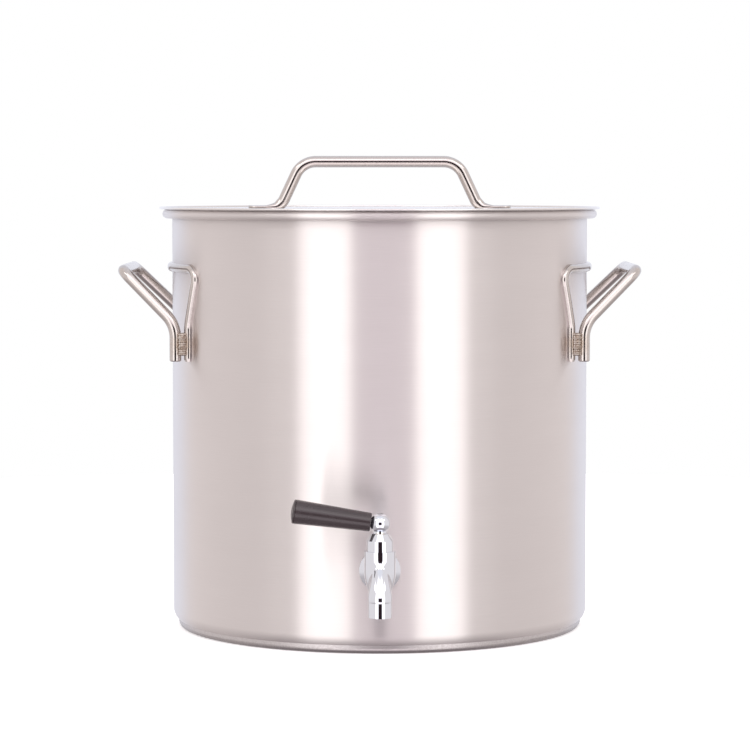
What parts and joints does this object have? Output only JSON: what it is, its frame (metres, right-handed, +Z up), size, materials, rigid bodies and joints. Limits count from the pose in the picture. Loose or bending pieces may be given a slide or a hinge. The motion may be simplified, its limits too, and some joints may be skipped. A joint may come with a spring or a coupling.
{
  "type": "brew kettle",
  "caption": "Straight-sided stainless brew kettle with clad base, welded bow handles, lift-off lid with bar handle, and a chromed plug tap with a turning lever.",
  "frame": {"origin": "centre of the base on the surface that the kettle stands on", "axes": "+Z up along the pot's axis, tap towards -Y, handles along +X and -X"},
  "size_m": [0.4464, 0.4373, 0.4085],
  "materials": {
    "pot_steel": "fine circumferential brushing",
    "base_steel": "plain rolled, lightly scratched",
    "base_aluminium": "plain",
    "lid_steel": "polished, fine turned rings",
    "rod_steel": "polished",
    "weld_steel": "rippled bead with brown heat tint",
    "tap_chrome": "bright plated",
    "plug_brass": "ground",
    "spring_steel": "drawn",
    "screw_steel": "dark oiled",
    "seal_rubber": "moulded",
    "grip_plastic": "satin moulded"
  },
  "bodies": {
    "kettle": {"pot_body": "pot_steel", "base_core": "base_aluminium", "base_cap": "base_steel", "left_grip_bow": "rod_steel", "right_grip_bow": "rod_steel", "left_mount_bow": "rod_steel", "right_mount_bow": "rod_steel", "left_handle_welds": "weld_steel", "right_handle_welds": "weld_steel", "tap_body": "tap_chrome", "bonnet_nut": "tap_chrome", "wall_flange": "tap_chrome", "back_nut": "tap_chrome", "plug_spring": "spring_steel", "inner_washer": "spring_steel", "stem_seal": "seal_rubber", "outer_gasket": "seal_rubber", "inner_gasket": "seal_rubber"},
    "lid": {"lid_pan": "lid_steel", "lid_handle": "rod_steel"},
    "tap_lever": {"tap_plug": "plug_brass", "spring_washer": "spring_steel", "lever_ball": "tap_chrome", "hub_screw": "screw_steel", "lever_stud": "spring_steel", "lever_grip": "grip_plastic"}
  },
  "joints": [
    {"name": "lid_lift", "type": "slide", "parent": "kettle", "child": "lid", "axis": [0, 0, 1], "range_m": [0, 0.25]},
    {"name": "lever_turn", "type": "hinge", "parent": "kettle", "child": "tap_lever", "pos_m": [0, -0.218, 0.08], "axis": [0, 0, 1], "range_deg": [0, 90]}
  ]
}
